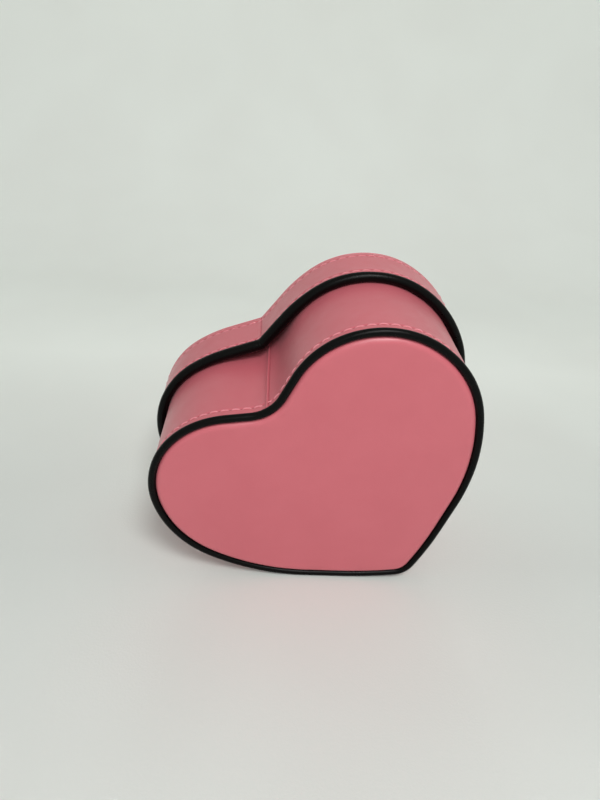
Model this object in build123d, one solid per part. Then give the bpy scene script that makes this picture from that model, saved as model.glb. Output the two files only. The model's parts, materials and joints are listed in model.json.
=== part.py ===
"""Heart-shaped keepsake box with a lift-off lid, covered in sewn leathercloth with corded edges.

Every piece is drawn as the box lies on a bench: x across the heart, y from its point to its
cleft, z up from the face that the base rests on. The finished box is then stood on one flank,
on the cord round its base and the cord round the lid's rim.
Lengths are in millimetres and angles in degrees.
"""

import math
import os
from typing import NamedTuple

from build123d import *

# Heart outline at the outer face of the base's wall.
# A heading is the direction of travel round the outline from the point, measured from +x.
LOBE_SPREAD = 71.0  # between the centres of the two lobes
LOBE_RADIUS = 39.0  # round top of a lobe
SIDE_RADIUS = 50.8  # outer side of a lobe
FLANK_RADIUS = 98.8  # shallow curve below a lobe
POINT_RADIUS = 176.0  # slight curve of a flank towards the point
TIP_RADIUS = 11.0  # rounded point
FOOT_LENGTH = 16.0  # straight stretch in a flank, which the box stands on
FOOT_HEADING = 37.7
FLANK_END_HEADING = 66.3  # where the flank's curve runs into the lobe's side
SIDE_END_HEADING = 115.7  # where the lobe's side runs into its top
LOBE_END_HEADING = 182.4  # where the lobe's top runs into its shoulder, beside the cleft
BASE_CLEFT_SLOPE = 27.8  # fall of the base's outline into its cleft
BASE_CLEFT_RADIUS = 16.6  # round bottom of the base's cleft
LID_SHOULDER_RADIUS = 69.0  # the lid's shoulders are flatter than its lobes
LID_CLEFT_SLOPE = 16.5  # the lid's cleft is shallower than the base's
LID_CLEFT_RADIUS = 3.0  # and sharper, at the lid's outer face

# Heights
BASE_HEIGHT = 69.1  # resting face to the base's mouth
LID_SKIRT = 28.0  # middle of the rim cord to the lid's top
LID_REST_GAP = 0.3  # base's mouth to the lid's ceiling
LID_CLEARANCE = 0.75  # base's wall to the inside of the lid

# Sheet materials
BOARD = 2.0  # stiff greyboard of the walls, the floor and the lid's top
CARD = 1.0  # thin card behind the flat linings
LEATHERCLOTH = 0.8
FOAM = 1.8
BASE_LINING = 1.0
LID_LINING = 0.6
PAD_LINING = 1.0  # pile fabric on the floor and the ceiling
GLUE = 0.1  # glue line between two layers

# Covers
PANEL_EDGE = 2.3  # depth of the rolled edge of a padded panel
PANEL_ROUND = 2.1  # its outer radius
MOUTH_TURN_IN = 9.0  # cover turned over the base's mouth and down inside
MOUTH_ROUND = 0.6
STRIP_SEAM = 0.3  # between the two ends of a wall strip, at the cleft

# Corded edges: a leathercloth tube round a filler cord, with a flange that is sewn in
CORD_SKIN = 0.5
FLANGE = 0.6
BASE_CORD_RADIUS = 1.7
BASE_CORD_INSET = 0.7  # middle of the cord in from the face of the base's wall
BASE_FLANGE_WIDTH = 6.0
RIM_CORD_RADIUS = 2.2
RIM_CORD_PROUD = 0.55  # cord out past the face of the lid's wall
RIM_FLANGE_HEIGHT = 8.0

OVERRUN = 1.0  # how far a cutter runs past what it cuts


class Outline(NamedTuple):
    """A heart that runs outside the base's wall by step, with its own shoulders and cleft."""

    step: float
    shoulder_radius: float
    cleft_slope: float
    cleft_radius: float


LID_WALL = LEATHERCLOTH + GLUE + BOARD + GLUE + LID_LINING
BASE = Outline(0, LOBE_RADIUS, BASE_CLEFT_SLOPE, BASE_CLEFT_RADIUS)
LID = Outline(LID_CLEARANCE + LID_WALL, LID_SHOULDER_RADIUS, LID_CLEFT_SLOPE, LID_CLEFT_RADIUS)

# Layers of a wall, measured in from its outer face
COVER_IN = LEATHERCLOTH
BOARD_OUT = COVER_IN + GLUE
BOARD_IN = BOARD_OUT + BOARD
LINING_OUT = BOARD_IN + GLUE
BASE_LINING_IN = LINING_OUT + BASE_LINING
LID_LINING_IN = LINING_OUT + LID_LINING

# Levels of the base, from its resting face up
FLANGE_Z = PANEL_EDGE + GLUE
FLANGE_TOP_Z = FLANGE_Z + FLANGE
BASE_CORD_Z = FLANGE_TOP_Z - (BASE_CORD_RADIUS - CORD_SKIN)
WALL_FOOT_Z = BASE_CORD_Z + BASE_CORD_RADIUS + GLUE
FLOOR_Z = FLANGE_TOP_Z + GLUE
FLOOR_CARD_Z = FLOOR_Z + BOARD + GLUE
FLOOR_LINING_Z = FLOOR_CARD_Z + CARD + GLUE
TURN_IN_Z = BASE_HEIGHT - MOUTH_TURN_IN

# Levels of the lid, from the base's mouth up
CEILING_Z = BASE_HEIGHT + LID_REST_GAP
CEILING_CARD_Z = CEILING_Z + PAD_LINING + GLUE
TOP_BOARD_Z = CEILING_CARD_Z + CARD + GLUE
TOP_FOAM_Z = TOP_BOARD_Z + BOARD + GLUE
LID_TOP_Z = TOP_FOAM_Z + FOAM + GLUE + LEATHERCLOTH
TOP_SEAM_Z = LID_TOP_Z - PANEL_EDGE
RIM_CORD_Z = LID_TOP_Z - LID_SKIRT
RIM_CORD_INSET = RIM_CORD_RADIUS - RIM_CORD_PROUD
RIM_FLANGE_TOP_Z = RIM_CORD_Z + RIM_FLANGE_HEIGHT
LID_FOOT_Z = RIM_CORD_Z + RIM_CORD_RADIUS + GLUE


def square_to(heading):
    """Unit vector out of the outline, square to a heading."""
    turn = math.radians(heading)
    return Vector(math.sin(turn), -math.cos(turn))


# Centres of the arcs, each tangent to the next. Every offset outline shares them.
FOOT_OUT = square_to(FOOT_HEADING)
FOOT_ALONG = square_to(FOOT_HEADING + 90)
LOBE_CENTRE = Vector(LOBE_SPREAD / 2, 0)
SIDE_CENTRE = LOBE_CENTRE - square_to(SIDE_END_HEADING) * (SIDE_RADIUS - LOBE_RADIUS)
FLANK_CENTRE = SIDE_CENTRE - square_to(FLANK_END_HEADING) * (FLANK_RADIUS - SIDE_RADIUS)
POINT_CENTRE = FLANK_CENTRE + FOOT_OUT * (FLANK_RADIUS - POINT_RADIUS) - FOOT_ALONG * FOOT_LENGTH
# The point's curve runs into a tip whose centre lies on the heart's axis.
POINT_HEADING = math.degrees(math.asin(-POINT_CENTRE.X / (POINT_RADIUS - TIP_RADIUS)))
TIP_CENTRE = POINT_CENTRE + square_to(POINT_HEADING) * (POINT_RADIUS - TIP_RADIUS)


def arc(centre, radius, start, end):
    """An arc of the outline, between two headings."""
    return CenterArc(centre, radius, start - 90, end - start)


def shoulder(outline, inset):
    """An outline's arc from the top of a lobe towards the cleft."""
    flatter = outline.shoulder_radius - LOBE_RADIUS
    centre = LOBE_CENTRE - square_to(LOBE_END_HEADING) * flatter
    radius = outline.shoulder_radius + outline.step - inset
    return arc(centre, radius, LOBE_END_HEADING, 180 + outline.cleft_slope)


def cleft_circle(outline, inset):
    """Centre and radius of the cleft, tangent to the slopes that fall from both shoulders."""
    out = square_to(180 + outline.cleft_slope)
    radius = outline.cleft_radius + inset
    slope_start = shoulder(outline, inset) @ 1
    return Vector(0, (out.dot(slope_start) + radius) / out.Y), radius


def outline_wire(outline, inset, z):
    """The closed heart that runs inside an outline by inset, at height z."""
    grow = outline.step - inset
    slope = outline.cleft_slope
    cleft_centre, cleft_radius = cleft_circle(outline, inset)
    slope_end = cleft_centre - square_to(180 + slope) * cleft_radius
    foot_end = FLANK_CENTRE + FOOT_OUT * (FLANK_RADIUS + grow)
    right = [
        arc(POINT_CENTRE, POINT_RADIUS + grow, POINT_HEADING, FOOT_HEADING),
        Line(foot_end - FOOT_ALONG * FOOT_LENGTH, foot_end),
        arc(FLANK_CENTRE, FLANK_RADIUS + grow, FOOT_HEADING, FLANK_END_HEADING),
        arc(SIDE_CENTRE, SIDE_RADIUS + grow, FLANK_END_HEADING, SIDE_END_HEADING),
        arc(LOBE_CENTRE, LOBE_RADIUS + grow, SIDE_END_HEADING, LOBE_END_HEADING),
        shoulder(outline, inset),
        Line(shoulder(outline, inset) @ 1, slope_end),
    ]
    left = [mirror(edge, about=Plane.YZ) for edge in reversed(right)]
    tip = arc(TIP_CENTRE, TIP_RADIUS + grow, -POINT_HEADING, POINT_HEADING)
    cleft = arc(cleft_centre, cleft_radius, -slope, slope)
    edges = [curve.edge() for curve in (tip, *right, cleft, *left)]
    return Wire(edges).moved(Pos(0, 0, z))


def plate(outline, inset, low, high):
    """A flat heart from one height to another."""
    return extrude(Face(outline_wire(outline, inset, low)), high - low, dir=(0, 0, 1))


def ring(outline, outer, inner, low, high):
    """An upright wall between two insets."""
    return plate(outline, outer, low, high) - plate(outline, inner, low, high)


def rolled(solid, radius, end):
    """A heart with the rim of its lowest (0) or highest (-1) face rounded."""
    return fillet(solid.edges().group_by(Axis.Z)[end], radius)


def strip_seam(outline, thickness, low, high):
    """A thin cutter at the cleft, where the two ends of a wall strip meet."""
    centre, radius = cleft_circle(outline, 0)
    cutter = Box(STRIP_SEAM, 2 * (thickness + OVERRUN), high - low + 2 * OVERRUN)
    return Pos(0, centre.Y - radius, (low + high) / 2) * cutter


def corded_edge(outline, inset, z, profile):
    """A profile carried round the heart: its x is outward and its y is up."""
    path = outline_wire(outline, inset, z)
    start = Plane(origin=path @ 0, x_dir=square_to(-POINT_HEADING), z_dir=-(path % 0))
    return sweep(start * profile, path=path)


def tube_section(radius, flange):
    """The sewn tube: round, with its flange, and open for the cord."""
    return Circle(radius) + flange - Circle(radius - CORD_SKIN)


def cord_section(radius):
    """The filler cord, a glue line clear of the tube."""
    return Circle(radius - CORD_SKIN - GLUE)


def flange_section(x_low, x_high, y_low, y_high):
    """The flat tail of a tube, between two positions each way."""
    middle = Pos((x_low + x_high) / 2, (y_low + y_high) / 2)
    return middle * Rectangle(x_high - x_low, y_high - y_low)


def rolled_plate(outline, inset, seam, face, radius):
    """A plate between a seam and a face, with the face's rim rounded."""
    end = -1 if face > seam else 0
    return rolled(plate(outline, inset, min(seam, face), max(seam, face)), radius, end)


def padded_panel(outline, inset, seam, face):
    """A dish of leathercloth: its rim at height seam, its flat face at height face."""
    inner_face = face + math.copysign(LEATHERCLOTH, seam - face)
    outer = rolled_plate(outline, inset, seam, face, PANEL_ROUND)
    inner_round = PANEL_ROUND - LEATHERCLOTH
    return outer - rolled_plate(outline, inset + LEATHERCLOTH, seam, inner_face, inner_round)


def panel_foam(outline, inset, seam, face):
    """Foam that fills a padded panel's dish, a glue line clear of it."""
    skin = LEATHERCLOTH + GLUE
    foam_face = face + math.copysign(skin, seam - face)
    return rolled_plate(outline, inset + skin, seam, foam_face, PANEL_ROUND - skin)


def base_wall_cover():
    """One strip round the wall, turned over the mouth and down inside it."""
    turn_in = LINING_OUT + LEATHERCLOTH
    cover = ring(BASE, 0, COVER_IN, WALL_FOOT_Z, BASE_HEIGHT)
    cover += ring(BASE, 0, turn_in, BASE_HEIGHT - LEATHERCLOTH, BASE_HEIGHT)
    cover += ring(BASE, LINING_OUT, turn_in, TURN_IN_Z, BASE_HEIGHT)
    return rolled(cover, MOUTH_ROUND, -1) - strip_seam(BASE, turn_in, WALL_FOOT_Z, BASE_HEIGHT)


def base_bottom_foam():
    """Foam in the bottom panel, raised inside the cord's flange to meet the floor board."""
    panel_inset = BASE_CORD_INSET + BASE_CORD_RADIUS + GLUE
    inside_flange = BASE_CORD_INSET + BASE_FLANGE_WIDTH + GLUE
    foam = panel_foam(BASE, panel_inset, PANEL_EDGE, 0)
    return foam + plate(BASE, inside_flange, PANEL_EDGE, FLANGE_TOP_Z)


def base_pieces():
    """The base: a board tray, covered outside, lined inside, corded round its foot."""
    panel_inset = BASE_CORD_INSET + BASE_CORD_RADIUS + GLUE
    board_top = BASE_HEIGHT - LEATHERCLOTH - GLUE
    floor_inset = BASE_LINING_IN + GLUE
    flange = flange_section(
        -BASE_FLANGE_WIDTH, 0, FLANGE_Z - BASE_CORD_Z, FLANGE_TOP_Z - BASE_CORD_Z
    )
    tube = tube_section(BASE_CORD_RADIUS, flange)
    cord = cord_section(BASE_CORD_RADIUS)
    return {
        "base_wall_board": ring(BASE, BOARD_OUT, BOARD_IN, WALL_FOOT_Z, board_top),
        "base_floor_board": plate(BASE, LINING_OUT, FLOOR_Z, FLOOR_Z + BOARD),
        "base_bottom_foam": base_bottom_foam(),
        "base_bottom_cover": padded_panel(BASE, panel_inset, PANEL_EDGE, 0),
        "base_wall_cover": base_wall_cover(),
        "base_piping_cover": corded_edge(BASE, BASE_CORD_INSET, BASE_CORD_Z, tube),
        "base_piping_cord": corded_edge(BASE, BASE_CORD_INSET, BASE_CORD_Z, cord),
        "base_wall_lining": ring(BASE, LINING_OUT, BASE_LINING_IN, FLOOR_CARD_Z, TURN_IN_Z - GLUE),
        "base_floor_card": plate(BASE, floor_inset, FLOOR_CARD_Z, FLOOR_CARD_Z + CARD),
        "base_floor_lining": plate(BASE, floor_inset, FLOOR_LINING_Z, FLOOR_LINING_Z + PAD_LINING),
    }


def lid_wall_cover():
    """One strip round the lid's wall, from the rim cord to the seam of the top panel."""
    cover = ring(LID, 0, COVER_IN, LID_FOOT_Z, TOP_SEAM_Z - GLUE)
    return cover - strip_seam(LID, LEATHERCLOTH, LID_FOOT_Z, TOP_SEAM_Z)


def lid_pieces():
    """The lid: a shallow board tray upside down, padded on top, corded round its rim."""
    ceiling_inset = LID_LINING_IN + GLUE
    flange = flange_section(
        RIM_CORD_INSET - LID_LINING_IN, RIM_CORD_INSET - LINING_OUT, 0, RIM_FLANGE_HEIGHT
    )
    tube = tube_section(RIM_CORD_RADIUS, flange)
    cord = cord_section(RIM_CORD_RADIUS)
    lining_foot = RIM_FLANGE_TOP_Z + GLUE
    return {
        "lid_wall_board": ring(LID, BOARD_OUT, BOARD_IN, LID_FOOT_Z, TOP_BOARD_Z + BOARD),
        "lid_top_board": plate(LID, LINING_OUT, TOP_BOARD_Z, TOP_BOARD_Z + BOARD),
        "lid_top_foam": panel_foam(LID, 0, TOP_FOAM_Z, LID_TOP_Z),
        "lid_top_cover": padded_panel(LID, 0, TOP_SEAM_Z, LID_TOP_Z),
        "lid_wall_cover": lid_wall_cover(),
        "lid_rim_piping_cover": corded_edge(LID, RIM_CORD_INSET, RIM_CORD_Z, tube),
        "lid_rim_piping_cord": corded_edge(LID, RIM_CORD_INSET, RIM_CORD_Z, cord),
        "lid_wall_lining": ring(LID, LINING_OUT, LID_LINING_IN, lining_foot, TOP_BOARD_Z - GLUE),
        "lid_ceiling_card": plate(LID, ceiling_inset, CEILING_CARD_Z, CEILING_CARD_Z + CARD),
        "lid_ceiling_lining": plate(LID, ceiling_inset, CEILING_Z, CEILING_Z + PAD_LINING),
    }


def standing(pieces):
    """Placement of the box on the straight foot of one flank, with its middle over the origin."""
    roll = math.radians(FOOT_HEADING)
    # The lid's cord stands further out than the base's, so the box leans between them.
    rise = LID.step - RIM_CORD_INSET + BASE_CORD_INSET
    run = RIM_CORD_Z - BASE_CORD_Z
    lean = math.asin((RIM_CORD_RADIUS - BASE_CORD_RADIUS) / math.hypot(rise, run))
    lean += math.atan2(rise, run)
    across = Vector(
        -math.cos(roll), math.sin(roll) * math.sin(lean), -math.sin(roll) * math.cos(lean)
    )
    depth = Vector(0, math.cos(lean), math.sin(lean))
    turned = Plane(origin=(0, 0, 0), x_dir=across, z_dir=depth).location
    box = Compound([piece.moved(turned) for piece in pieces]).bounding_box()
    return Pos(-box.center().X, -box.center().Y, -box.min.Z) * turned


PIECES = {**base_pieces(), **lid_pieces()}
PLACE = standing(list(PIECES.values()))

os.makedirs("parts", exist_ok=True)
for name, piece in PIECES.items():
    export_step(piece.moved(PLACE), f"parts/{name}.step")
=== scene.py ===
"""Looks of the heart-shaped gift box: sewn leathercloth, corded edges, stitches and linings."""

import json
import math

import bmesh
import bpy
import numpy as np
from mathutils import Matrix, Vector


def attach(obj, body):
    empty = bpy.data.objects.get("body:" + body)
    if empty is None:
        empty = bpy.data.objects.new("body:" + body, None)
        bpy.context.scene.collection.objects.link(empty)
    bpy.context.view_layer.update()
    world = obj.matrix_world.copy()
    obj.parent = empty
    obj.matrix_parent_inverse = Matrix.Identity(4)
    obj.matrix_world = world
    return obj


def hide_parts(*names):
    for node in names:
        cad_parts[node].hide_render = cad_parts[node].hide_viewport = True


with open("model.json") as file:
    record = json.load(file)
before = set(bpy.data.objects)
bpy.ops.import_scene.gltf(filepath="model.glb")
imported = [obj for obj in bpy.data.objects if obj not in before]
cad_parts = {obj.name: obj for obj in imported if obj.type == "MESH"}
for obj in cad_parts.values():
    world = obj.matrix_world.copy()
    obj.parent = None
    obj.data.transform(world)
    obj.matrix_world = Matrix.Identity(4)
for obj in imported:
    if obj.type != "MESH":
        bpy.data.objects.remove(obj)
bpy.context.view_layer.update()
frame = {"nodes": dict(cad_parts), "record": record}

# Lengths are in millimetres and angles in degrees, apart from the stage, which is in metres.
MM = 0.001

# Heart outline at the outer face of the base's wall
LOBE_SPREAD = 71.0
LOBE_RADIUS = 39.0
SIDE_RADIUS = 50.8
FLANK_RADIUS = 98.8
POINT_RADIUS = 176.0
TIP_RADIUS = 11.0
FOOT_LENGTH = 16.0
FOOT_HEADING = 37.7
FLANK_END_HEADING = 66.3
SIDE_END_HEADING = 115.7
LOBE_END_HEADING = 182.4
BASE_CLEFT_SLOPE = 27.8
BASE_CLEFT_RADIUS = 16.6
LID_SHOULDER_RADIUS = 69.0
LID_CLEFT_SLOPE = 16.5
LID_CLEFT_RADIUS = 3.0
LID_STEP = 4.35  # lid's outer face out from the base's

# Heights above the base's resting face
BOTTOM_FACE_Z = 0.15  # above the crown of the bottom panel
BASE_CORD_Z = 1.8
PANEL_SEAM_Z = 2.3
BASE_FOOT_Z = 3.3
FLOOR_CARD_Z = 5.2
FLOOR_LINING_Z = 6.3
TURN_IN_Z = 60.1
BASE_STRIP_BACK_Z = 66.0  # on the glued face of the base's wall strip
BASE_MOUTH_Z = 69.1
CEILING_Z = 69.4
RIM_CORD_Z = 48.4
LID_FOOT_Z = 50.12
TOP_BOARD_Z = 71.6
LID_STRIP_BACK_Z = 72.0  # on the glued face of the lid's wall strip
TOP_SEAM_Z = 74.1
TOP_PANEL_SEAM_Z = TOP_SEAM_Z + 0.05
LID_TOP_Z = 76.4
TOP_FACE_Z = LID_TOP_Z - 0.2  # below the crown of the top panel

# Layers, in from a wall's outer face
SKIN = 0.8
GLUE = 0.1
LINING_OUT = 3.0
BASE_LINING_IN = 4.0
LID_LINING_IN = 3.6
PAD_LINING = 1.0
PILE_SKIN = 0.8

# Corded edges
BASE_CORD_RADIUS = 1.7
BASE_CORD_INSET = 0.7
BASE_FLANGE_WIDTH = 6.0
RIM_CORD_RADIUS = 2.2
RIM_CORD_INSET = 1.65
RIM_FLANGE_HEIGHT = 8.0
FLANGE = 0.6
CORD_SKIN = 0.5
SECTION_POINTS = 26
ROUND_SLACK = 1.02  # points within this share of the radius are on the tube's round part
CORD_SWELL, CORD_SWELL_WAVE = 0.012, 24  # shares of the radius, and wavelengths
CORD_DENT, CORD_DENT_WAVE = 0.006, 7
CORD_WANDER, CORD_WANDER_WAVE = 0.08, 46
CREASE_WAVE, CREASE_REACH = 1.45, 4.2
BUNCH_REACH, BUNCH_SHIFT = 45, 0.7

# Padded panels
PANEL_INSET = 2.5  # the bottom panel's edge, in from the base's wall
PANEL_MIDDLE = -22.0  # middle of a panel on the heart's axis
PANEL_RINGS = 17
ROLL_WIDTH = 2.7  # width of a panel's rolled edge
ROLL_STEPS = 10
ROLL_TUCK_SHARE = 0.02  # how far the tucked edge lies past its seam, as a share of the roll
ROLL_RUNS = (0.8, 1.8, 3.2)  # rings on the face, in from the roll
CROWN_START, CROWN_START_WIDTH, CROWN_FALL = 0.3, 9, 0.7
FOLD_PITCH, FOLD_AWAY, FOLD_WIDTH = 3.1, 3.0, 2.2
PANEL_RIPPLE, PANEL_RIPPLE_WAVE, PANEL_RIPPLE_EASE = 0.06, 38, 8
FAR_INSIDE = 60  # inset that no fold reaches
UNDER_EASE = 3  # the underside draws in by less and less over this inset
PILE_ROLL_RISE, PILE_ROLL_WIDTH, PILE_ROLL_TUCK = 0.5, 1.2, 0.05  # of a lining's edge

# Sewing
STITCH_PITCH = 4.7
BASE_THREAD = 0.30  # radius
LID_THREAD = 0.23
BASE_STITCH_Z = 7.15
RIM_STITCH_Z = 52.3
TOP_STITCH_Z = 70.6
STITCH_RINGS, STITCH_SIDES = 13, 10
STITCH_SPAN = 0.85  # of half the pitch, each way from its middle
STITCH_DIVE = 1.35
STITCH_SLANT = 0.15
STRAND_DEPTH, STRAND_TURNS = 0.10, 1.3
LIFT_SPREAD = 0.05  # unevenness from stitch to stitch
STITCH_SPREAD = 0.06

# Relief of the sewing: depths, and the distances over which they fade; and the painted shade in
# its holes and groove
ROW_DIP, ROW_WIDTH = 0.12, 0.75
HOLE_DIP, HOLE_WIDTH = 0.30, 0.42
HOLE_STRETCH = 0.7  # a hole is longer along its row
# Painted shade in each needle hole, and how far it spreads
HOLE_PAINTED_SHADE, HOLE_PAINTED_SHADE_WIDTH = 0.75, 0.36
RIDGE, RIDGE_AWAY, RIDGE_WIDTH = 0.07, 1.3, 0.8
# The last of these is the painted shade in the seam's groove
GROOVE_DIP, GROOVE_AWAY, GROOVE_WIDTH, GROOVE_PAINTED_SHADE = 0.3, 0.2, 0.2, 0.7
LAP_WIDTH = 1.9
LIP_SHARE, LIP_AWAY, LIP_WIDTH = 0.5, 0.45, 0.4
DOT_PITCH = 1.6
WALL_RIPPLE, WALL_RIPPLE_WAVE = 0.09, 42
WALL_DENT, WALL_DENT_WAVE = 0.03, 13

# Mesh spacing
WALL_PITCH = 0.55
CORD_PITCH = 0.9
PANEL_PITCH = 0.9
LINING_PITCH, LINING_ROW_PITCH = 1.0, 4.0
LEVEL_PITCH, LEAST_LEVEL = 2.2, 0.08
EDGE_LEVELS = (0.3, 0.7)
FACE_START, FACE_END = 0.3, 0.45  # a wall's first and last level, from its turned edges
BAND, BAND_PITCH, BAND_CLEAR = 1.5, 0.2, 2.0  # round a stitch row
LINING_SOFT = 0.3  # bevel at a wall lining's ends

# Spans of a noise texture that its colours are spread over
SOFT_SPAN = (0.35, 0.65)
WIDE_SPAN = (0.3, 0.7)
FIBRE_SPAN = (0.38, 0.62)

# Where the bottom panel's mount lies on the heart's axis
FACE_POINT_Y = -20.0

# Camera, at the photograph's angle
CAMERA_PLACE = (-0.0231, -0.24981, 0.21863)
CAMERA_TURN = (61.3806, -4.1406, -1.8199)
CAMERA_LENS = 26.711


# Bench frame of the box: x across, y from point to cleft, z up from the resting face
bottom_face = frame["record"]["mounts"][0]
DEPTH = -np.array(bottom_face["axis"])
LEAN = math.atan2(DEPTH[2], DEPTH[1])
ROLL = math.radians(FOOT_HEADING)
ACROSS = np.array([
    -math.cos(ROLL), math.sin(ROLL) * math.sin(LEAN), -math.sin(ROLL) * math.cos(LEAN)
])
ALONG = np.cross(DEPTH, ACROSS)
ORIGIN = np.array(bottom_face["pos_m"]) - ALONG * FACE_POINT_Y * MM
BENCH = np.stack([ACROSS, ALONG, DEPTH]) * MM


def square_to(heading):
    """Outward normal of the outline at a heading."""
    turn = np.radians(heading)
    return np.stack([np.sin(turn), -np.cos(turn)], -1)


FOOT_OUT = square_to(FOOT_HEADING)
FOOT_ALONG = square_to(FOOT_HEADING + 90)
LOBE_CENTRE = np.array([LOBE_SPREAD / 2, 0.0])
SIDE_CENTRE = LOBE_CENTRE - square_to(SIDE_END_HEADING) * (SIDE_RADIUS - LOBE_RADIUS)
FLANK_CENTRE = SIDE_CENTRE - square_to(FLANK_END_HEADING) * (FLANK_RADIUS - SIDE_RADIUS)
POINT_CENTRE = FLANK_CENTRE + FOOT_OUT * (FLANK_RADIUS - POINT_RADIUS) - FOOT_ALONG * FOOT_LENGTH
POINT_HEADING = math.degrees(math.asin(-POINT_CENTRE[0] / (POINT_RADIUS - TIP_RADIUS)))
TIP_CENTRE = POINT_CENTRE + square_to(POINT_HEADING) * (POINT_RADIUS - TIP_RADIUS)


class Heart:
    """A heart outline, measured along its length from the cleft by the +x side."""

    STEPS_PER_DEGREE = 6
    LEAST_STEPS = 3
    SAME_PLACE = 1e-6
    SEAM_STEP, SEAM_STEPS = 0.05, 14

    def __init__(self, step, shoulder_radius, slope, cleft_radius):
        cleft_out = square_to(180 + slope)
        flatter = shoulder_radius - LOBE_RADIUS
        shoulder_centre = LOBE_CENTRE - square_to(LOBE_END_HEADING) * flatter
        shoulder_end = shoulder_centre + cleft_out * (shoulder_radius + step)
        cleft_y = (cleft_out @ shoulder_end + cleft_radius) / cleft_out[1]
        runs = [
            self.arc(TIP_CENTRE, TIP_RADIUS + step, 0, POINT_HEADING),
            self.arc(POINT_CENTRE, POINT_RADIUS + step, POINT_HEADING, FOOT_HEADING),
            self.arc(FLANK_CENTRE, FLANK_RADIUS + step, FOOT_HEADING, FLANK_END_HEADING),
            self.arc(SIDE_CENTRE, SIDE_RADIUS + step, FLANK_END_HEADING, SIDE_END_HEADING),
            self.arc(LOBE_CENTRE, LOBE_RADIUS + step, SIDE_END_HEADING, LOBE_END_HEADING),
            self.arc(shoulder_centre, shoulder_radius + step, LOBE_END_HEADING, 180 + slope),
            self.arc(np.array([0.0, cleft_y]), -cleft_radius, 180 + slope, 180),
        ]
        half = np.concatenate([run[0] for run in runs])
        out = np.concatenate([run[1] for run in runs])
        flip = np.array([-1, 1])
        points = np.concatenate([half[::-1], half[1:] * flip])
        normals = np.concatenate([out[::-1], out[1:] * flip])
        gaps = np.hypot(*np.diff(points, axis=0).T)
        apart = gaps > self.SAME_PLACE
        keep = np.concatenate([[True], apart])
        self.points, self.normals = points[keep], normals[keep]
        self.s = np.concatenate([[0], np.cumsum(gaps[apart])])
        self.length = self.s[-1]

    def arc(self, centre, radius, start, end):
        """Points and outward normals of an arc, a negative radius for a hollow one."""
        count = max(self.LEAST_STEPS, int(abs(end - start) * self.STEPS_PER_DEGREE))
        normals = square_to(np.linspace(start, end, count))
        return centre + radius * normals, normals

    def at(self, s):
        """Points and outward normals at the given lengths."""
        s = np.mod(s, self.length)
        point = np.stack([np.interp(s, self.s, self.points[:, k]) for k in (0, 1)], -1)
        normal = np.stack([np.interp(s, self.s, self.normals[:, k]) for k in (0, 1)], -1)
        return point, normal / np.linalg.norm(normal, axis=-1, keepdims=True)

    def side(self, s):
        """Signed length from the cleft: positive by the +x side."""
        return np.where(s > self.length / 2, s - self.length, s)

    def columns(self, pitch, seam=False):
        """Lengths all the way round, closer together by a seam in the cleft."""
        if not seam:
            return np.arange(0, self.length, self.length / round(self.length / pitch))
        near = np.cumsum(np.linspace(self.SEAM_STEP, pitch, self.SEAM_STEPS))
        count = round((self.length - 2 * near[-1]) / pitch)
        rest = np.linspace(near[-1], self.length - near[-1], count)[1:-1]
        return np.concatenate([[0], near, rest, self.length - near[::-1]])


BASE = Heart(0, LOBE_RADIUS, BASE_CLEFT_SLOPE, BASE_CLEFT_RADIUS)
LID = Heart(LID_STEP, LID_SHOULDER_RADIUS, LID_CLEFT_SLOPE, LID_CLEFT_RADIUS)


class Ripple:
    """Smooth seeded unevenness: a sum of waves through the bench frame."""

    WAVES = 14
    SHORTEST, LONGEST = 0.7, 1.6  # shares of the wavelength

    def __init__(self, seed, wavelength):
        rng = np.random.default_rng(seed)
        way = rng.normal(size=(self.WAVES, 3))
        way /= np.linalg.norm(way, axis=1)[:, None]
        lengths = wavelength * rng.uniform(self.SHORTEST, self.LONGEST, (self.WAVES, 1))
        self.k = way * 2 * np.pi / lengths
        self.phase = rng.uniform(0, 2 * np.pi, self.WAVES)

    def __call__(self, points):
        return np.sin(points @ self.k.T + self.phase).sum(-1) / math.sqrt(len(self.phase))


def build(name, verts, faces, material, body, node=None, weights=None):
    """A smooth mesh piece from bench-frame vertices, riding on a body."""
    mesh = bpy.data.meshes.new(name)
    mesh.from_pydata((ORIGIN + np.asarray(verts) @ BENCH).tolist(), [], faces)
    for key, values in (weights or {}).items():
        mesh.attributes.new(key, "FLOAT", "POINT").data.foreach_set("value", np.ravel(values))
    work = bmesh.new()
    work.from_mesh(mesh)
    bmesh.ops.recalc_face_normals(work, faces=work.faces)
    work.to_mesh(mesh)
    work.free()
    mesh.polygons.foreach_set("use_smooth", [True] * len(mesh.polygons))
    mesh.materials.append(material)
    piece = bpy.data.objects.new(name, mesh)
    bpy.context.scene.collection.objects.link(piece)
    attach(piece, body)
    if node:
        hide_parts(node)
    return piece


def grid_faces(rows, columns, close_rows=True, first=0):
    """Quads of a grid that closes round its columns, and round its rows if asked."""
    faces = []
    for j in range(rows if close_rows else rows - 1):
        a, b = first + j * columns, first + (j + 1) % rows * columns
        for i in range(columns):
            k = (i + 1) % columns
            faces.append((a + i, a + k, b + k, b + i))
    return faces


def ring_grid(heart, s, profile):
    """Vertices (rows, columns, 3) of a profile of (inset, z) carried round a heart."""
    point, normal = heart.at(s)
    inset, z = np.asarray(profile, float).T
    flat = point[None] - inset[:, None, None] * normal[None]
    return np.concatenate([flat, np.broadcast_to(z[:, None, None], flat.shape[:2] + (1,))], -1)


def spread(start, end, pitch):
    """Evenly spaced values from start to end, both included."""
    return np.linspace(start, end, max(2, round(abs(end - start) / pitch) + 1))


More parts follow.
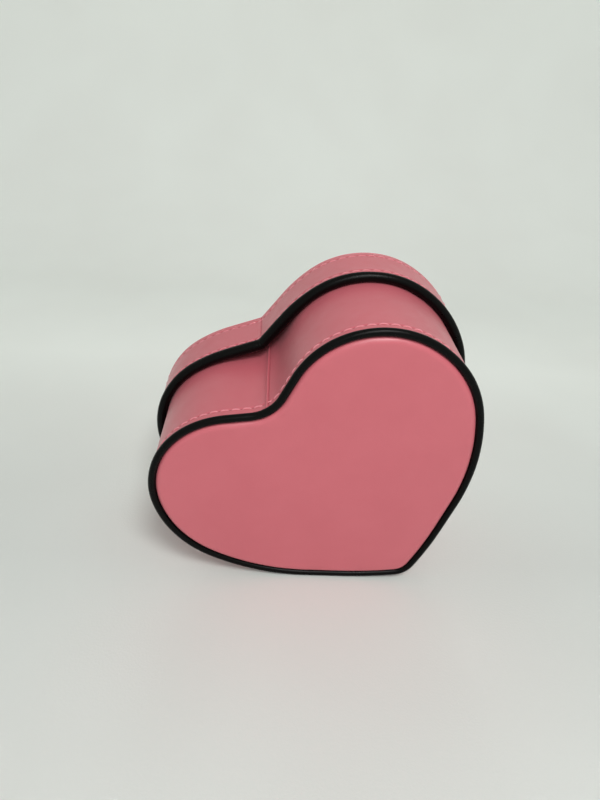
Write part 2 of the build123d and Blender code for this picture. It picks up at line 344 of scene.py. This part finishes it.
def levels(low, high, rows):
    """Heights up a wall, closer together round its stitch rows and at its ends."""
    coarse = spread(low, high, LEVEL_PITCH)
    away = np.abs(coarse[:, None] - np.array(rows)).min(1)
    fine = [spread(max(row - BAND, low), min(row + BAND, high), BAND_PITCH) for row in rows]
    ends = [low, high] + [low + step for step in EDGE_LEVELS]
    ends += [high - step for step in EDGE_LEVELS]
    heights = np.sort(np.concatenate([coarse[away > BAND_CLEAR], ends, *fine]))
    return heights[np.concatenate([[True], np.diff(heights) > LEAST_LEVEL])]


def bell(distance, width):
    """1 at no distance, fading smoothly to 0."""
    return np.exp(-((distance / width) ** 2))


def stitch_holes(heart):
    """Lengths at which the needle goes through, evenly round a heart."""
    count = round(heart.length / STITCH_PITCH)
    return (np.arange(count) + 0.5) * heart.length / count


def sewn_relief(heart, s, z, rows):
    """Outward relief of a sewn wall along its stitch rows, and the painted shade in its needle
    holes.
    """
    holes = stitch_holes(heart)
    pitch = holes[1] - holes[0]
    away = np.abs((s - holes[0] + pitch / 2) % pitch - pitch / 2)[None, :]
    relief = np.zeros((len(z), len(s)))
    painted_shade = np.zeros_like(relief)
    for row in rows:
        up = (z - row)[:, None]
        hole = np.hypot(up, HOLE_STRETCH * away)
        relief -= ROW_DIP * bell(up, ROW_WIDTH) + HOLE_DIP * bell(hole, HOLE_WIDTH)
        relief += sum(RIDGE * bell(up + to, RIDGE_WIDTH) for to in (-RIDGE_AWAY, RIDGE_AWAY))
        # Painted shade in each needle hole
        painted_shade = np.maximum(painted_shade, HOLE_PAINTED_SHADE * bell(hole, HOLE_PAINTED_SHADE_WIDTH))
    return relief, painted_shade


def strip_seam(side, z, lap, dotted):
    """Relief, and painted shade in the groove, where one end of a wall strip laps over the
    other, in the cleft.
    """
    groove = bell(side + GROOVE_AWAY, GROOVE_WIDTH)
    lip = lap * (bell(side, LAP_WIDTH) + LIP_SHARE * bell(side - LIP_AWAY, LIP_WIDTH))
    relief = np.where(side >= 0, lip, -GROOVE_DIP * groove)
    # The groove's painted shade breaks into dots up the wall, as much as dotted asks
    dots = 1 - dotted * np.sin(z * np.pi / DOT_PITCH) ** 2
    return relief[None, :], GROOVE_PAINTED_SHADE * groove[None, :] * dots[:, None]


def wall_cover(name, heart, low, high, rows, lap, dotted, body, node, seed):
    """A sewn wall strip: its outer face between two turned edges, with a seam in the cleft."""
    s = heart.columns(WALL_PITCH, seam=True)
    low, high = np.asarray(low, float), np.asarray(high, float)
    outer_z = levels(low[-1, 1] + FACE_START, high[0, 1] - FACE_END, rows)
    profile = np.concatenate([low, np.stack([np.zeros_like(outer_z), outer_z], 1), high])
    grid = ring_grid(heart, s, profile)
    _, normal = heart.at(s)
    relief, painted_shade = sewn_relief(heart, s, profile[:, 1], rows)
    ripple, dent = Ripple(seed, WALL_RIPPLE_WAVE), Ripple(seed + 1, WALL_DENT_WAVE)
    relief += WALL_RIPPLE * ripple(grid) + WALL_DENT * dent(grid)
    seam_relief, seam_painted_shade = strip_seam(heart.side(s), profile[:, 1], lap, dotted)
    relief = relief + seam_relief
    painted_shade = np.maximum(painted_shade, seam_painted_shade)
    # The outer face takes the relief and the painted shade in full, the first point of each
    # turned edge half of it.
    face = np.zeros(len(profile))
    face[len(low):len(low) + len(outer_z)] = 1
    face[len(low) - 1] = face[len(low) + len(outer_z)] = 0.5
    grid[..., :2] += (relief * face[:, None])[..., None] * normal[None]
    return build(
        name, grid.reshape(-1, 3), grid_faces(*grid.shape[:2]), PINK,
        body, node, {"painted_shade": painted_shade * face[:, None]},
    )


def corded_edge(name, heart, inset, z, radius, flange, body, node, seed, creases, bunch):
    """A leathercloth tube round its cord, with the sewing flange as part of its section.

    The tube creases and bunches up where it is sewn round the cleft.
    """
    s = heart.columns(CORD_PITCH, seam=True)
    section = np.asarray(flange(radius), float)
    point, normal = heart.at(s)
    side = heart.side(s)
    round_part = (np.hypot(section[:, 0], section[:, 1]) < radius * ROUND_SLACK)[:, None]
    centre = np.concatenate([point, np.full((len(s), 1), z)], 1)
    swell = 1 + CORD_SWELL * Ripple(seed, CORD_SWELL_WAVE)(centre)
    swell += CORD_DENT * Ripple(seed + 1, CORD_DENT_WAVE)(centre)
    swell += creases * np.sin(side * 2 * np.pi / CREASE_WAVE) * bell(side, CREASE_REACH)
    gathered = bunch * bell(side, BUNCH_REACH)
    swell += gathered / radius
    size = np.where(round_part, swell[None], 1)
    out = section[:, 0][:, None] * size - inset
    up = section[:, 1][:, None] * size + z
    wander = CORD_WANDER * Ripple(seed + 2, CORD_WANDER_WAVE)(centre) + BUNCH_SHIFT * gathered
    out = out + np.where(round_part, wander[None], 0)
    up = up - np.where(round_part, BUNCH_SHIFT * gathered[None], 0)
    flat = point[None] + out[..., None] * normal[None]
    grid = np.concatenate([flat, up[..., None]], -1)
    faces = grid_faces(*grid.shape[:2])
    return build(name, grid.reshape(-1, 3), faces, BLACK, body, node)


def circle_section(radius, gap_at, gap_half):
    """Points of a circle that leaves a gap at an angle, for a flange."""
    turn = np.radians(np.linspace(gap_at + gap_half, gap_at + 360 - gap_half, SECTION_POINTS))
    return np.stack([radius * np.cos(turn), radius * np.sin(turn)], 1)


def base_flange(radius):
    """Tube with a flange that runs in, flat, under the base's wall."""
    top = radius - CORD_SKIN
    low = top - FLANGE
    start = math.degrees(math.atan2(top, -math.sqrt(radius**2 - top**2)))
    end = math.degrees(math.atan2(low, -math.sqrt(radius**2 - low**2)))
    middle, half = (start + end) / 2, abs(end - start) / 2
    tail = [(-BASE_FLANGE_WIDTH, low), (-BASE_FLANGE_WIDTH, top)]
    return np.concatenate([circle_section(radius, middle, half), tail])


def rim_flange(radius):
    """Tube with a flange that stands up inside the lid's wall."""
    right, left = RIM_CORD_INSET - LINING_OUT, RIM_CORD_INSET - LID_LINING_IN
    start = math.degrees(math.atan2(math.sqrt(radius**2 - right**2), right))
    end = math.degrees(math.atan2(math.sqrt(radius**2 - left**2), left))
    middle, half = (start + end) / 2, abs(end - start) / 2
    tail = [(left, RIM_FLANGE_HEIGHT), (right, RIM_FLANGE_HEIGHT)]
    return np.concatenate([circle_section(radius, middle, half), tail])[::-1]


def edge_folds(heart, s, seed):
    """Small seeded puckers round a sewn edge, from -1 to 1."""
    spots = np.arange(0, heart.length, FOLD_PITCH)
    folds = np.interp(s, spots, np.random.default_rng(seed).uniform(-1, 1, len(spots)))
    return (folds + np.roll(folds, 1) + np.roll(folds, -1)) / 3


def panel_surface(heart, s, edge, up, crown, pucker, seed):
    """Rings of a panel's face: its rolled edge, then rings that shrink to its middle."""
    rim = ring_grid(heart, s, edge)
    middle = np.array([0.0, PANEL_MIDDLE])
    shares = np.linspace(1, 0, PANEL_RINGS)[1:-1]
    last = rim[-1]
    inner = np.stack([
        np.concatenate([middle + (last[:, :2] - middle) * k, last[:, 2:]], 1) for k in shares
    ])
    face = np.concatenate([rim, inner])
    # The middle crowns a little and the sewn edge puckers.
    inset = np.concatenate([edge[:, 0] - edge[0, 0], np.full(len(shares), FAR_INSIDE)])
    rise = np.concatenate([
        CROWN_START * np.clip(inset[:len(edge)] / CROWN_START_WIDTH, 0, 1),
        1 - CROWN_FALL * shares**2,
    ])
    folds = edge_folds(heart, s, seed)
    puff = pucker * folds[None] * (bell(inset - FOLD_AWAY, FOLD_WIDTH) * (inset > 0))[:, None]
    eased = np.clip(inset / PANEL_RIPPLE_EASE, 0, 1)[:, None]
    puff = puff + PANEL_RIPPLE * Ripple(seed + 3, PANEL_RIPPLE_WAVE)(face) * eased
    face[..., 2] += up * (crown * rise[:, None] + puff)
    return face


def panel(name, heart, edge, thickness, up, body, node, material, seed, crown, pucker):
    """A closed heart sheet: edge is its rolled (inset, z) section, then a crowned middle."""
    s = heart.columns(PANEL_PITCH)
    edge = np.asarray(edge, float)
    outer = panel_surface(heart, s, edge, up, crown, pucker, seed)
    under = outer.copy()
    under[..., 2] -= up * thickness
    shrink = np.clip(1 - (edge[:, 0] - edge[0, 0]) / UNDER_EASE, 0, 1) * thickness
    _, normal = heart.at(s)
    under[:len(edge), :, :2] -= shrink[:, None, None] * normal[None]
    rows, columns = outer.shape[:2]
    count = rows * columns
    middles = [(0.0, PANEL_MIDDLE, sheet[-1, :, 2].mean()) for sheet in (outer, under)]
    verts = np.concatenate([outer.reshape(-1, 3), under.reshape(-1, 3), middles])
    faces = grid_faces(rows, columns, False) + grid_faces(rows, columns, False, count)
    last = (rows - 1) * columns
    for i in range(columns):
        k = (i + 1) % columns
        faces.append((i, k, count + k, count + i))
        faces.append((last + i, last + k, 2 * count))
        faces.append((count + last + i, count + last + k, 2 * count + 1))
    return build(name, verts, faces, material, body, node)


def rolled_edge(inset, seam_z, face_z, tuck, width):
    """Section of a padded panel's edge: out of its seam, round, and on to its face."""
    turn = np.linspace(0, math.pi / 2, ROLL_STEPS)
    rise = face_z - seam_z
    roll = np.stack([inset + width * (1 - np.cos(turn)), seam_z + rise * np.sin(turn)], 1)
    start = [(inset + tuck, seam_z - ROLL_TUCK_SHARE * rise)]
    on = [(roll[-1, 0] + run, face_z) for run in ROLL_RUNS]
    return np.concatenate([start, roll, on])


def lining_wall(name, heart, inside, low, high, body, node):
    """A pile lining glued round a wall, with soft ends."""
    bevel = inside + LINING_SOFT
    heights = spread(low + LINING_SOFT, high - LINING_SOFT, LINING_ROW_PITCH)
    profile = [(LINING_OUT, low), (bevel, low)]
    profile += [(inside, height) for height in heights]
    profile += [(bevel, high), (LINING_OUT, high)]
    grid = ring_grid(heart, heart.columns(LINING_PITCH), profile)
    faces = grid_faces(*grid.shape[:2])
    return build(name, grid.reshape(-1, 3), faces, PILE, body, node)


def stitch_row(name, heart, z, thread, lift, body, seed):
    """One row of top-stitching: a twisted thread that dips into each needle hole."""
    rng = np.random.default_rng(seed)
    holes = stitch_holes(heart)
    pitch = holes[1] - holes[0]
    t = np.linspace(-STITCH_SPAN, STITCH_SPAN, STITCH_RINGS)
    around = np.linspace(0, 2 * np.pi, STITCH_SIDES, endpoint=False)
    twist = np.cos(2 * around[None] - 2 * np.pi * STRAND_TURNS * t[:, None])
    strands = 1 + STRAND_DEPTH * twist

    def uneven(most):
        return rng.uniform(-most, most)

    verts, faces = [], []
    for hole in holes:
        point, normal = heart.at(hole + pitch * (t + 1) / 2)
        height = lift + uneven(LIFT_SPREAD) - STITCH_DIVE * np.abs(t) ** 3
        slant = z + t * (STITCH_SLANT + uneven(STITCH_SPREAD)) + uneven(STITCH_SPREAD)
        size = thread * strands * (1 + uneven(STITCH_SPREAD))
        out = height[:, None] + size * np.cos(around)[None]
        up = slant[:, None] + size * np.sin(around)[None]
        flat = point[:, None] + out[..., None] * normal[:, None]
        first = len(verts)
        verts.extend(np.concatenate([flat, up[..., None]], -1).reshape(-1, 3))
        faces += grid_faces(STITCH_RINGS, STITCH_SIDES, False, first)
        for ring in (0, STITCH_RINGS - 1):
            start = first + ring * STITCH_SIDES
            faces.append(tuple(range(start, start + STITCH_SIDES)))
    return build(name, verts, faces, THREAD, body)


class Shader:
    """A principled material with object-space textures."""

    def __init__(self, name, **constants):
        self.material = bpy.data.materials.new(name)
        self.material.use_nodes = True
        self.tree = self.material.node_tree
        self.bsdf = self.tree.nodes["Principled BSDF"]
        self.place = self.tree.nodes.new("ShaderNodeTexCoord").outputs["Object"]
        for key, value in constants.items():
            self.bsdf.inputs[key.replace("_", " ")].default_value = value

    def node(self, kind, inputs=None, **settings):
        """A new node, with its inputs linked or set."""
        made = self.tree.nodes.new(kind)
        for key, value in settings.items():
            setattr(made, key, value)
        for key, value in (inputs or {}).items():
            if isinstance(value, bpy.types.NodeSocket):
                self.tree.links.new(value, made.inputs[key])
            else:
                made.inputs[key].default_value = value
        return made

    def noise(self, size_mm, detail=2.0, rough=0.5):
        inputs = {"Vector": self.place, "Scale": 1 / (size_mm * MM)}
        inputs |= {"Detail": detail, "Roughness": rough}
        return self.node("ShaderNodeTexNoise", inputs).outputs["Fac"]

    def cells(self, size_mm):
        inputs = {"Vector": self.place, "Scale": 1 / (size_mm * MM)}
        made = self.node("ShaderNodeTexVoronoi", inputs, feature="DISTANCE_TO_EDGE")
        return made.outputs["Distance"]

    def ranged(self, value, low, high, out_low=0, out_high=1):
        """The value's range from low to high, spread over another."""
        inputs = {"Value": value, "From Min": low, "From Max": high}
        inputs |= {"To Min": out_low, "To Max": out_high}
        return self.node("ShaderNodeMapRange", inputs).outputs["Result"]

    def math(self, operation, first, second):
        return self.node("ShaderNodeMath", {0: first, 1: second}, operation=operation).outputs[0]

    def mix(self, factor, first, second):
        """A mix of two colours, its sockets by place because their names repeat."""
        inputs = {0: factor, 6: first, 7: second}
        return self.node("ShaderNodeMix", inputs, data_type="RGBA").outputs[2]

    def attribute(self, name):
        return self.node("ShaderNodeAttribute", attribute_name=name).outputs["Fac"]

    def link(self, value, key):
        self.tree.links.new(value, self.bsdf.inputs[key])

    def roughness(self, size_mm, detail, low, high):
        """Roughness that varies between two values in patches of a size."""
        self.link(self.ranged(self.noise(size_mm, detail), *WIDE_SPAN, low, high), "Roughness")

    def bump(self, *layers):
        """Bump from (height, depth in mm) layers, one on another."""
        normal = None
        for height, depth in layers:
            inputs = {"Height": height, "Distance": depth * MM, "Strength": 1.0}
            if normal:
                inputs["Normal"] = normal
            normal = self.node("ShaderNodeBump", inputs).outputs["Normal"]
        self.link(normal, "Normal")


def srgb(red, green, blue):
    """Linear colour from eight-bit values."""
    scale = np.array([red, green, blue]) / 255
    linear = np.where(scale <= 0.04045, scale / 12.92, ((scale + 0.055) / 1.055) ** 2.4)
    return (*linear.tolist(), 1.0)


def leathercloth(name, pale, deep, painted_shade_colour, gloss, sheen, rough, grain_mm, grain_depth):
    """Coated cloth: pebble grain, slow mottling, and painted shade in needle holes and seam
    grooves.
    """
    mottle_mm, fleck_mm, fleck_most = 23, 0.9, 0.22
    patch_mm, patch = 6, 0.05
    crease = 0.22  # width of the grain's creases, as a share of a pebble
    fine_mm, fine_depth = grain_mm * 0.4, grain_depth * 0.5
    shade = Shader(name, Specular_IOR_Level=gloss, Sheen_Weight=sheen, Sheen_Roughness=0.4)
    mottle = shade.ranged(shade.noise(mottle_mm, 3), *SOFT_SPAN)
    fleck = shade.ranged(shade.noise(fleck_mm), *SOFT_SPAN, 0, fleck_most)
    tone = shade.mix(fleck, shade.mix(mottle, pale, deep), deep)
    # Painted shade: needle holes and the seam groove darken towards the third colour
    shade.link(shade.mix(shade.attribute("painted_shade"), tone, painted_shade_colour), "Base Color")
    shade.roughness(patch_mm, 3, rough - patch, rough + patch)
    pebble = shade.ranged(shade.cells(grain_mm), 0.0, crease)
    shade.bump((pebble, grain_depth), (shade.noise(fine_mm), fine_depth))
    return shade.material


def thread_material(name, pale, deep):
    """Spun thread: slightly uneven in colour, with fine fibres."""
    shade = Shader(name, Specular_IOR_Level=0.3, Sheen_Weight=0.2, Sheen_Roughness=0.5)
    fleck_mm, patch_mm, fibre_mm, fibre_depth = 1.3, 0.4, 0.16, 0.03
    fleck = shade.ranged(shade.noise(fleck_mm), *WIDE_SPAN)
    shade.link(shade.mix(fleck, pale, deep), "Base Color")
    shade.roughness(patch_mm, 1, 0.5, 0.7)
    shade.bump((shade.noise(fibre_mm), fibre_depth))
    return shade.material


def pile_material(name, pale, deep):
    """Short pile: clouded in tone at random, with a soft edge glow."""
    shade = Shader(name, Specular_IOR_Level=0.1, Sheen_Weight=0.35, Sheen_Roughness=0.35)
    cloud_mm, patch_mm, tuft_mm, tuft_depth = 17, 3, 0.35, 0.16
    cloud_tone = shade.ranged(shade.noise(cloud_mm, 3, 0.6), *SOFT_SPAN)
    shade.link(shade.mix(cloud_tone, pale, deep), "Base Color")
    shade.roughness(patch_mm, 2, 0.8, 0.95)
    shade.bump((shade.noise(tuft_mm, 3), tuft_depth))
    return shade.material


def board_material(name, pale, deep, fibre_mm, depth):
    """Raw board, card, foam or cord: speckled, with short fibres or cells."""
    shade = Shader(name, Specular_IOR_Level=0.15)
    fleck = shade.ranged(shade.noise(fibre_mm, 4, 0.65), *FIBRE_SPAN)
    shade.link(shade.mix(fleck, pale, deep), "Base Color")
    shade.roughness(fibre_mm * 3, 2, 0.8, 0.95)
    shade.bump((shade.noise(fibre_mm * 0.6, 3), depth))
    return shade.material


PINK = leathercloth(
    # The third colour is the painted shade in needle holes and the seam groove
    "pink_leathercloth", srgb(204, 104, 114), srgb(201, 101, 111), srgb(140, 58, 70),
    gloss=0.5, sheen=0.05, rough=0.36, grain_mm=0.55, grain_depth=0.014,
)
BLACK = leathercloth(
    "black_leathercloth", srgb(6, 6, 6), srgb(4, 4, 4), srgb(3, 3, 3),
    gloss=0.09, sheen=0.0, rough=0.30, grain_mm=0.5, grain_depth=0.010,
)
THREAD = thread_material("pink_thread", srgb(232, 152, 160), srgb(222, 138, 147))
PILE = pile_material("black_pile", srgb(50, 48, 50), srgb(33, 32, 34))
GREYBOARD = board_material(
    "greyboard", srgb(152, 147, 138), srgb(124, 119, 110), fibre_mm=0.7, depth=0.05
)
FOAM = board_material("foam", srgb(226, 223, 212), srgb(208, 203, 190), fibre_mm=0.5, depth=0.12)
CORD = board_material(
    "filler_cord", srgb(214, 207, 190), srgb(186, 178, 160), fibre_mm=0.6, depth=0.1
)


# Turned edges of the wall strips, as (inset, z). Their small steps round them off.
TURN_IN = LINING_OUT + SKIN
BASE_STRIP_FOOT = [
    (SKIN, BASE_STRIP_BACK_Z), (SKIN, BASE_FOOT_Z + 0.15), (0.72, BASE_FOOT_Z + 0.02),
    (0.40, BASE_FOOT_Z), (0.14, BASE_FOOT_Z + 0.2),
]
BASE_STRIP_MOUTH = [
    (0.12, BASE_MOUTH_Z - 0.35), (0.32, BASE_MOUTH_Z - 0.12), (0.62, BASE_MOUTH_Z),
    (TURN_IN - 0.6, BASE_MOUTH_Z), (TURN_IN - 0.2, BASE_MOUTH_Z - 0.15),
    (TURN_IN, BASE_MOUTH_Z - 0.6), (TURN_IN, TURN_IN_Z + 0.3),
    (TURN_IN - 0.2, TURN_IN_Z + 0.02), (LINING_OUT + 0.12, TURN_IN_Z + 0.02),
    (LINING_OUT, TURN_IN_Z + 0.3), (LINING_OUT, BASE_MOUTH_Z - 0.85),
    (SKIN + 0.05, BASE_MOUTH_Z - 0.85),
]
LID_STRIP_FOOT = [
    (SKIN, LID_STRIP_BACK_Z), (SKIN, LID_FOOT_Z + 0.33), (0.66, LID_FOOT_Z + 0.18),
    (0.36, LID_FOOT_Z), (0.10, LID_FOOT_Z + 0.18),
]
LID_STRIP_TOP = [
    (0.12, TOP_SEAM_Z - 0.35), (0.35, TOP_SEAM_Z - 0.14), (0.7, TOP_SEAM_Z - 0.1),
    (SKIN, TOP_SEAM_Z - 0.3),
]

# The base: wall strip, bottom panel, corded foot, stitches and linings
wall_cover(
    "base_wall_cover_sewn", BASE, BASE_STRIP_FOOT, BASE_STRIP_MOUTH, [BASE_STITCH_Z],
    lap=0.5, dotted=0.0, body="base", node="base_wall_cover", seed=11,
)
base_bottom = panel(
    "base_bottom_cover_padded", BASE,
    rolled_edge(PANEL_INSET, PANEL_SEAM_Z, BOTTOM_FACE_Z, tuck=0.15, width=ROLL_WIDTH),
    SKIN, -1, "base", "base_bottom_cover", PINK,
    seed=21, crown=0.30, pucker=0.12,
)
corded_edge(
    "base_piping_tube", BASE, BASE_CORD_INSET, BASE_CORD_Z, BASE_CORD_RADIUS, base_flange,
    "base", "base_piping_cover", seed=31, creases=0.004, bunch=0.0,
)
stitch_row(
    "base_wall_stitching", BASE, BASE_STITCH_Z, BASE_THREAD, lift=0.10, body="base", seed=41
)
lining_wall(
    "base_wall_lining_pile", BASE, BASE_LINING_IN, FLOOR_CARD_Z, TURN_IN_Z - GLUE,
    "base", "base_wall_lining",
)
FLOOR_TOP_Z = FLOOR_LINING_Z + PAD_LINING
panel(
    "base_floor_lining_pile", BASE,
    rolled_edge(
        BASE_LINING_IN + GLUE, FLOOR_TOP_Z - PILE_ROLL_RISE, FLOOR_TOP_Z,
        PILE_ROLL_TUCK, PILE_ROLL_WIDTH,
    ),
    PILE_SKIN, 1, "base", "base_floor_lining", PILE,
    seed=51, crown=0.1, pucker=0.05,
)

# The lid: wall strip, top panel, corded rim, stitches and linings
wall_cover(
    "lid_wall_cover_sewn", LID, LID_STRIP_FOOT, LID_STRIP_TOP, [RIM_STITCH_Z, TOP_STITCH_Z],
    lap=0.16, dotted=0.6, body="lid", node="lid_wall_cover", seed=61,
)
lid_top = panel(
    "lid_top_cover_padded", LID,
    rolled_edge(0.0, TOP_PANEL_SEAM_Z, TOP_FACE_Z, tuck=0.4, width=ROLL_WIDTH),
    SKIN, 1, "lid", "lid_top_cover", PINK,
    seed=71, crown=0.28, pucker=0.10,
)
corded_edge(
    "lid_rim_piping_tube", LID, RIM_CORD_INSET, RIM_CORD_Z, RIM_CORD_RADIUS, rim_flange,
    "lid", "lid_rim_piping_cover", seed=81, creases=0.03, bunch=0.4,
)
stitch_row("lid_rim_stitching", LID, RIM_STITCH_Z, LID_THREAD, lift=0.02, body="lid", seed=91)
stitch_row("lid_top_stitching", LID, TOP_STITCH_Z, LID_THREAD, lift=0.02, body="lid", seed=92)
lining_wall(
    "lid_wall_lining_pile", LID, LID_LINING_IN, RIM_CORD_Z + RIM_FLANGE_HEIGHT + GLUE,
    TOP_BOARD_Z - GLUE, "lid", "lid_wall_lining",
)
panel(
    "lid_ceiling_lining_pile", LID,
    rolled_edge(
        LID_LINING_IN + GLUE, CEILING_Z + PILE_ROLL_RISE, CEILING_Z,
        PILE_ROLL_TUCK, PILE_ROLL_WIDTH,
    ),
    PILE_SKIN, -1, "lid", "lid_ceiling_lining", PILE,
    seed=101, crown=-0.05, pucker=0.04,
)

# Inner layers keep their solids
for nodes, material in (
    (("base_wall_board", "base_floor_board", "base_floor_card"), GREYBOARD),
    (("lid_wall_board", "lid_top_board", "lid_ceiling_card"), GREYBOARD),
    (("base_bottom_foam", "lid_top_foam"), FOAM),
    (("base_piping_cord", "lid_rim_piping_cord"), CORD),
):
    for node in nodes:
        mesh = frame["nodes"][node].data
        mesh.materials.clear()
        mesh.materials.append(material)


# Stage: a pale cloth sweep, soft light and the photograph's camera
FLOOR_REACH = 6.0
BACKDROP_Y, BACKDROP_HEIGHT = 0.75, 1.4
BEND_RADIUS, BEND_STEPS = 0.35, 24
BACKDROP = srgb(213, 217, 208)
BACKDROP_GLOW, GLOW_FROM_Y, GLOW_TO_Y = 0.31, -0.02, 0.22
FAR_GLOW, FAR_FROM, FAR_TO = 0.6, 0.6, 1.8
ROOM_LIGHT, ROOM_COLOUR = 0.36, (0.97, 1.0, 0.99, 1.0)
FILL_SPREAD = 26


def seen_rays(tree):
    """1 for a ray that shows the stage itself, to the eye or in gloss or glass, else 0."""
    rays = tree.nodes.new("ShaderNodeLightPath").outputs
    seen = rays["Is Camera Ray"]
    for kind in ("Is Glossy Ray", "Is Transmission Ray"):
        either = tree.nodes.new("ShaderNodeMath")
        either.operation = "MAXIMUM"
        tree.links.new(seen, either.inputs[0])
        tree.links.new(rays[kind], either.inputs[1])
        seen = either.outputs[0]
    return seen


def pale_cloth():
    """Plain cloth. Far off and behind the box it shows paler than the room's light makes it."""
    shade = Shader("pale_cloth", Specular_IOR_Level=0.1, Roughness=0.9)
    drift_mm, nap_mm, nap_depth = 160, 1.1, 0.06
    drift = shade.ranged(shade.noise(drift_mm), *SOFT_SPAN)
    shade.link(shade.mix(drift, srgb(220, 224, 219), srgb(216, 219, 214)), "Base Color")
    shade.bump((shade.noise(nap_mm, 3), nap_depth))
    depth = shade.node("ShaderNodeSeparateXYZ", {0: shade.place}).outputs["Y"]
    away = shade.node("ShaderNodeVectorMath", {0: shade.place}, operation="LENGTH")
    behind = shade.ranged(depth, GLOW_FROM_Y, GLOW_TO_Y, 0, BACKDROP_GLOW)
    far = shade.ranged(away.outputs["Value"], FAR_FROM, FAR_TO, 0, FAR_GLOW)
    glow = shade.math("MAXIMUM", behind, far)
    shade.link(shade.math("MULTIPLY", glow, seen_rays(shade.tree)), "Emission Strength")
    shade.bsdf.inputs["Emission Color"].default_value = BACKDROP
    return shade.material


def sweep_floor():
    """A floor that curves up into a backdrop behind the box."""
    bend_y = BACKDROP_Y - BEND_RADIUS
    line = [(-FLOOR_REACH, 0.0), (bend_y, 0.0)]
    for turn in np.linspace(0, math.pi / 2, BEND_STEPS)[1:]:
        y = bend_y + BEND_RADIUS * math.sin(turn)
        line.append((y, BEND_RADIUS - BEND_RADIUS * math.cos(turn)))
    line.append((BACKDROP_Y, BACKDROP_HEIGHT))
    verts, faces = [], []
    for y, z in line:
        verts += [(-FLOOR_REACH, y, z), (FLOOR_REACH, y, z)]
    for i in range(len(line) - 1):
        faces.append((2 * i, 2 * i + 1, 2 * i + 3, 2 * i + 2))
    mesh = bpy.data.meshes.new("floor")
    mesh.from_pydata(verts, [], faces)
    mesh.polygons.foreach_set("use_smooth", [True] * len(mesh.polygons))
    mesh.materials.append(pale_cloth())
    floor = bpy.data.objects.new("floor", mesh)
    bpy.context.scene.collection.objects.link(floor)


def soft_light(name, place, target, size, power):
    """A round area lamp at a place, aimed at a target."""
    lamp = bpy.data.lights.new(name, "AREA")
    lamp.shape = "DISK"
    lamp.size = size
    lamp.energy = power
    light = bpy.data.objects.new(name, lamp)
    light.location = place
    aim = Vector(target) - Vector(place)
    light.rotation_euler = aim.to_track_quat("-Z", "Y").to_euler()
    bpy.context.scene.collection.objects.link(light)
    return light


sweep_floor()
soft_light("front", (0.0, -1.0, 0.75), target=(0, 0, 0.05), size=0.45, power=3.2)
soft_light("key", (0.13, -0.6, 0.85), target=(0, -0.1, 0), size=0.3, power=4.9)

# A narrow fill behind the box lights the top of its lid
fill = soft_light("fill", (0.0, 0.66, 0.10), target=(0, 0.04, 0.06), size=0.2, power=0.18)
fill.data.spread = math.radians(FILL_SPREAD)
fill.visible_glossy = False

# The room lights the box dimly, and shows as pale as the backdrop
world = bpy.data.worlds.new("room")
world.use_nodes = True
room = world.node_tree
lit = room.nodes["Background"]
lit.inputs["Color"].default_value = ROOM_COLOUR
lit.inputs["Strength"].default_value = ROOM_LIGHT
shown = room.nodes.new("ShaderNodeBackground")
shown.inputs["Color"].default_value = BACKDROP
either = room.nodes.new("ShaderNodeMixShader")
room.links.new(seen_rays(room), either.inputs[0])
room.links.new(lit.outputs[0], either.inputs[1])
room.links.new(shown.outputs[0], either.inputs[2])
room.links.new(either.outputs[0], room.nodes["World Output"].inputs["Surface"])
bpy.context.scene.world = world

camera = bpy.data.objects.new("camera", bpy.data.cameras.new("camera"))
camera.data.lens = CAMERA_LENS
camera.data.clip_start = 0.01
camera.location = CAMERA_PLACE
camera.rotation_euler = [math.radians(angle) for angle in CAMERA_TURN]
bpy.context.scene.collection.objects.link(camera)
bpy.context.scene.camera = camera
bpy.context.scene.view_settings.view_transform = "Standard"
